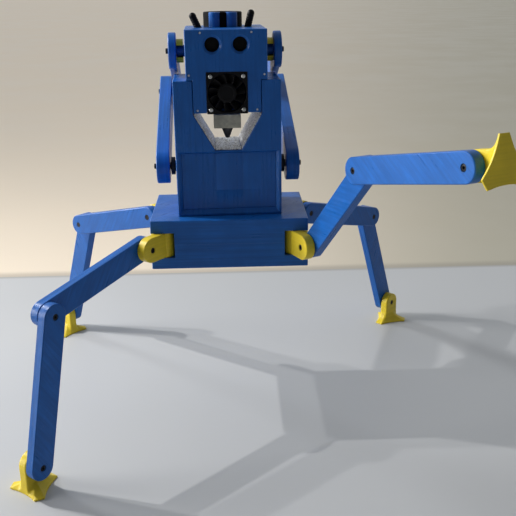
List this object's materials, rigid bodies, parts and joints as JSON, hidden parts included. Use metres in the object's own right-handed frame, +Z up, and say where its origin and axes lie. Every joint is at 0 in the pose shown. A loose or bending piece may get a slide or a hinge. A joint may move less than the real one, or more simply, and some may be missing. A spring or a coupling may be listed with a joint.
{
  "type": "four-legged robot",
  "caption": "Printed desk robot: box base on bolted plate legs with three-toed feet, square torso with a V-shaped mouth, and a fan-faced head lifted by two side arms.",
  "frame": {"origin": "centre of the flat underside of the base box", "axes": "+Z up, the face looks along -Y, +X to the right of someone looking at the face"},
  "size_m": [0.4787, 0.5066, 0.4154],
  "materials": {
    "blue_print": "3D-printed blue PLA, satin, fine layer lines",
    "yellow_print": "3D-printed yellow PLA, satin, fine layer lines",
    "black_plastic": "moulded black plastic",
    "black_steel": "black oxide steel bolts",
    "bright_steel": "bright steel screws",
    "grey_block": "dull grey metal block",
    "grey_liner": "rough grey lining",
    "dark_nozzle": "darkened nozzle",
    "bare_aluminium": "machined",
    "green_board": "circuit board"
  },
  "bodies": {
    "base": {"base_lower_shell": "blue_print", "base_upper_shell": "blue_print", "base_screws": "black_steel", "hub_pins": "bright_steel", "waist_spindle": "bright_steel"},
    "torso": {"torso_shell": "blue_print", "torso_front_panel": "blue_print", "torso_rear_cover": "blue_print", "torso_screws": "black_steel", "mouth_side_liners": "grey_liner", "mouth_floor_liner": "grey_liner", "shoulder_bearings": "black_plastic", "shoulder_bolts": "black_steel", "controller_board": "green_board"},
    "left_lower_arm": {"left_lower_arm": "blue_print", "left_elbow_hardware": "black_steel"},
    "left_upper_arm": {"left_upper_arm": "blue_print"},
    "right_lower_arm": {"right_lower_arm": "blue_print", "right_elbow_hardware": "black_steel"},
    "right_upper_arm": {"right_upper_arm": "blue_print"},
    "head": {"head_shell": "blue_print", "head_face_plate": "blue_print", "face_screws": "bright_steel", "eye_sensor": "black_plastic", "fan_frame": "black_plastic", "fan_screws": "bright_steel", "heat_sink": "bare_aluminium", "heater_block": "grey_block", "nozzle": "dark_nozzle", "antennas": "black_plastic", "crown_posts": "blue_print", "crown_drum": "black_plastic", "head_clips": "yellow_print", "head_pivot_bolts": "black_steel"},
    "fan_rotor": {"fan_rotor": "black_plastic"},
    "front_left_hip_bracket": {"front_left_hip_bracket": "yellow_print", "front_left_hip_bolt": "black_steel"},
    "front_left_thigh": {"front_left_thigh": "blue_print"},
    "front_left_shin": {"front_left_shin": "blue_print", "front_left_shin_bolts": "black_steel"},
    "front_left_foot": {"front_left_foot": "yellow_print"},
    "front_right_hip_bracket": {"front_right_hip_bracket": "yellow_print", "front_right_hip_bolt": "black_steel"},
    "front_right_thigh": {"front_right_thigh": "blue_print"},
    "front_right_shin": {"front_right_shin": "blue_print", "front_right_shin_bolts": "black_steel"},
    "front_right_foot": {"front_right_foot": "yellow_print"},
    "rear_left_hip_bracket": {"rear_left_hip_bracket": "yellow_print", "rear_left_hip_bolt": "black_steel"},
    "rear_left_thigh": {"rear_left_thigh": "blue_print"},
    "rear_left_shin": {"rear_left_shin": "blue_print", "rear_left_shin_bolts": "black_steel"},
    "rear_left_foot": {"rear_left_foot": "yellow_print"},
    "rear_right_hip_bracket": {"rear_right_hip_bracket": "yellow_print", "rear_right_hip_bolt": "black_steel"},
    "rear_right_thigh": {"rear_right_thigh": "blue_print"},
    "rear_right_shin": {"rear_right_shin": "blue_print", "rear_right_shin_bolts": "black_steel"},
    "rear_right_foot": {"rear_right_foot": "yellow_print"}
  },
  "joints": [
    {"name": "waist_turn", "type": "hinge", "parent": "base", "child": "torso", "pos_m": [0, 0, 0.0507], "axis": [0, 0, 1], "range_deg": [-21.9, 18.1]},
    {"name": "head_lift", "type": "hinge", "parent": "torso", "child": "left_lower_arm", "pos_m": [-0.06103, 0.00598, 0.094], "axis": [0.9995, 0.0332, 0], "range_deg": [0, 20]},
    {"name": "left_elbow", "type": "hinge", "parent": "left_lower_arm", "child": "left_upper_arm", "pos_m": [-0.06614, 0.16012, 0.15265], "axis": [0.9995, 0.0332, 0], "range_deg": [-42, 2]},
    {"name": "head_pivot", "type": "hinge", "parent": "left_upper_arm", "child": "head", "pos_m": [-0.04924, 0.00637, 0.2113], "axis": [0.9995, 0.0332, 0], "range_deg": [-1, 21]},
    {"name": "right_shoulder", "type": "hinge", "parent": "torso", "child": "right_lower_arm", "pos_m": [0.0605, 0.01001, 0.094], "axis": [0.9995, 0.0332, 0], "range_deg": [-1, 21]},
    {"name": "right_elbow", "type": "hinge", "parent": "right_lower_arm", "child": "right_upper_arm", "pos_m": [0.05539, 0.16415, 0.15265], "axis": [0.9995, 0.0332, 0], "range_deg": [-42, 2]},
    {"name": "fan_spin", "type": "hinge", "parent": "head", "child": "fan_rotor", "pos_m": [0.00123, -0.03708, 0.17385], "axis": [-0.0332, 0.9995, 0], "continuous": true},
    {"name": "front_left_hip_yaw", "type": "hinge", "parent": "base", "child": "front_left_hip_bracket", "pos_m": [-0.0683, -0.0422, 0.0249], "axis": [0, 0, 1], "range_deg": [-40.3, 27.7]},
    {"name": "front_left_hip_pitch", "type": "hinge", "parent": "front_left_hip_bracket", "child": "front_left_thigh", "pos_m": [-0.08396, -0.06245, 0.0249], "axis": [-0.7912, 0.6115, 0], "range_deg": [-28.3, 71.7]},
    {"name": "front_left_knee", "type": "hinge", "parent": "front_left_thigh", "child": "front_left_shin", "pos_m": [-0.1618, -0.16318, -0.00146], "axis": [-0.7912, 0.6115, 0], "range_deg": [-39.59, 65.41]},
    {"name": "front_left_ankle", "type": "hinge", "parent": "front_left_shin", "child": "front_left_foot", "pos_m": [-0.18108, -0.18812, -0.1392], "axis": [-0.7912, 0.6115, 0], "range_deg": [-47.11, 72.89]},
    {"name": "front_right_hip_yaw", "type": "hinge", "parent": "base", "child": "front_right_hip_bracket", "pos_m": [0.0683, -0.0422, 0.0249], "axis": [0, 0, -1], "range_deg": [-52.6, 15.4]},
    {"name": "front_right_hip_pitch", "type": "hinge", "parent": "front_right_hip_bracket", "child": "front_right_thigh", "pos_m": [0.07928, -0.06532, 0.0249], "axis": [-0.9033, -0.4289, 0], "range_deg": [-87, 13]},
    {"name": "front_right_knee", "type": "hinge", "parent": "front_right_thigh", "child": "front_right_shin", "pos_m": [0.11731, -0.14541, 0.11998], "axis": [-0.9033, -0.4289, 0], "range_deg": [-69.9, 35.1]},
    {"name": "front_right_ankle", "type": "hinge", "parent": "front_right_shin", "child": "front_right_foot", "pos_m": [0.17662, -0.27031, 0.14911], "axis": [-0.9033, -0.4289, 0], "range_deg": [-58.1, 61.9]},
    {"name": "rear_left_hip_yaw", "type": "hinge", "parent": "base", "child": "rear_left_hip_bracket", "pos_m": [-0.0683, 0.0422, 0.0249], "axis": [0, 0, -1], "range_deg": [-29.2, 16.8]},
    {"name": "rear_left_hip_pitch", "type": "hinge", "parent": "rear_left_hip_bracket", "child": "rear_left_thigh", "pos_m": [-0.08756, 0.05906, 0.0249], "axis": [0.6587, 0.7524, 0], "range_deg": [-26.1, 73.9]},
    {"name": "rear_left_knee", "type": "hinge", "parent": "rear_left_thigh", "child": "rear_left_shin", "pos_m": [-0.18251, 0.14219, -0.00633], "axis": [0.6587, 0.7524, 0], "range_deg": [-48.79, 56.21]},
    {"name": "rear_left_ankle", "type": "hinge", "parent": "rear_left_shin", "child": "rear_left_foot", "pos_m": [-0.21868, 0.17385, -0.1392], "axis": [0.6587, 0.7524, 0], "range_deg": [-40.11, 79.89]},
    {"name": "rear_right_hip_yaw", "type": "hinge", "parent": "base", "child": "rear_right_hip_bracket", "pos_m": [0.0683, 0.0422, 0.0249], "axis": [0, 0, 1], "range_deg": [-33.3, 12.7]},
    {"name": "rear_right_hip_pitch", "type": "hinge", "parent": "rear_right_hip_bracket", "child": "rear_right_thigh", "pos_m": [0.08631, 0.0604, 0.0249], "axis": [0.7108, -0.7034, 0], "range_deg": [-25.8, 74.2]},
    {"name": "rear_right_knee", "type": "hinge", "parent": "rear_right_thigh", "child": "rear_right_shin", "pos_m": [0.17495, 0.14998, -0.00699], "axis": [0.7108, -0.7034, 0], "range_deg": [-49.86, 55.14]},
    {"name": "rear_right_ankle", "type": "hinge", "parent": "rear_right_shin", "child": "rear_right_foot", "pos_m": [0.21003, 0.18542, -0.1392], "axis": [0.7108, -0.7034, 0], "range_deg": [-39.34, 80.66]}
  ],
  "couplings": [
    {"joint": "left_elbow", "follows": "head_lift", "ratio": -2},
    {"joint": "head_pivot", "follows": "head_lift", "ratio": 1},
    {"joint": "right_shoulder", "follows": "head_lift", "ratio": 1},
    {"joint": "right_elbow", "follows": "head_lift", "ratio": -2}
  ]
}
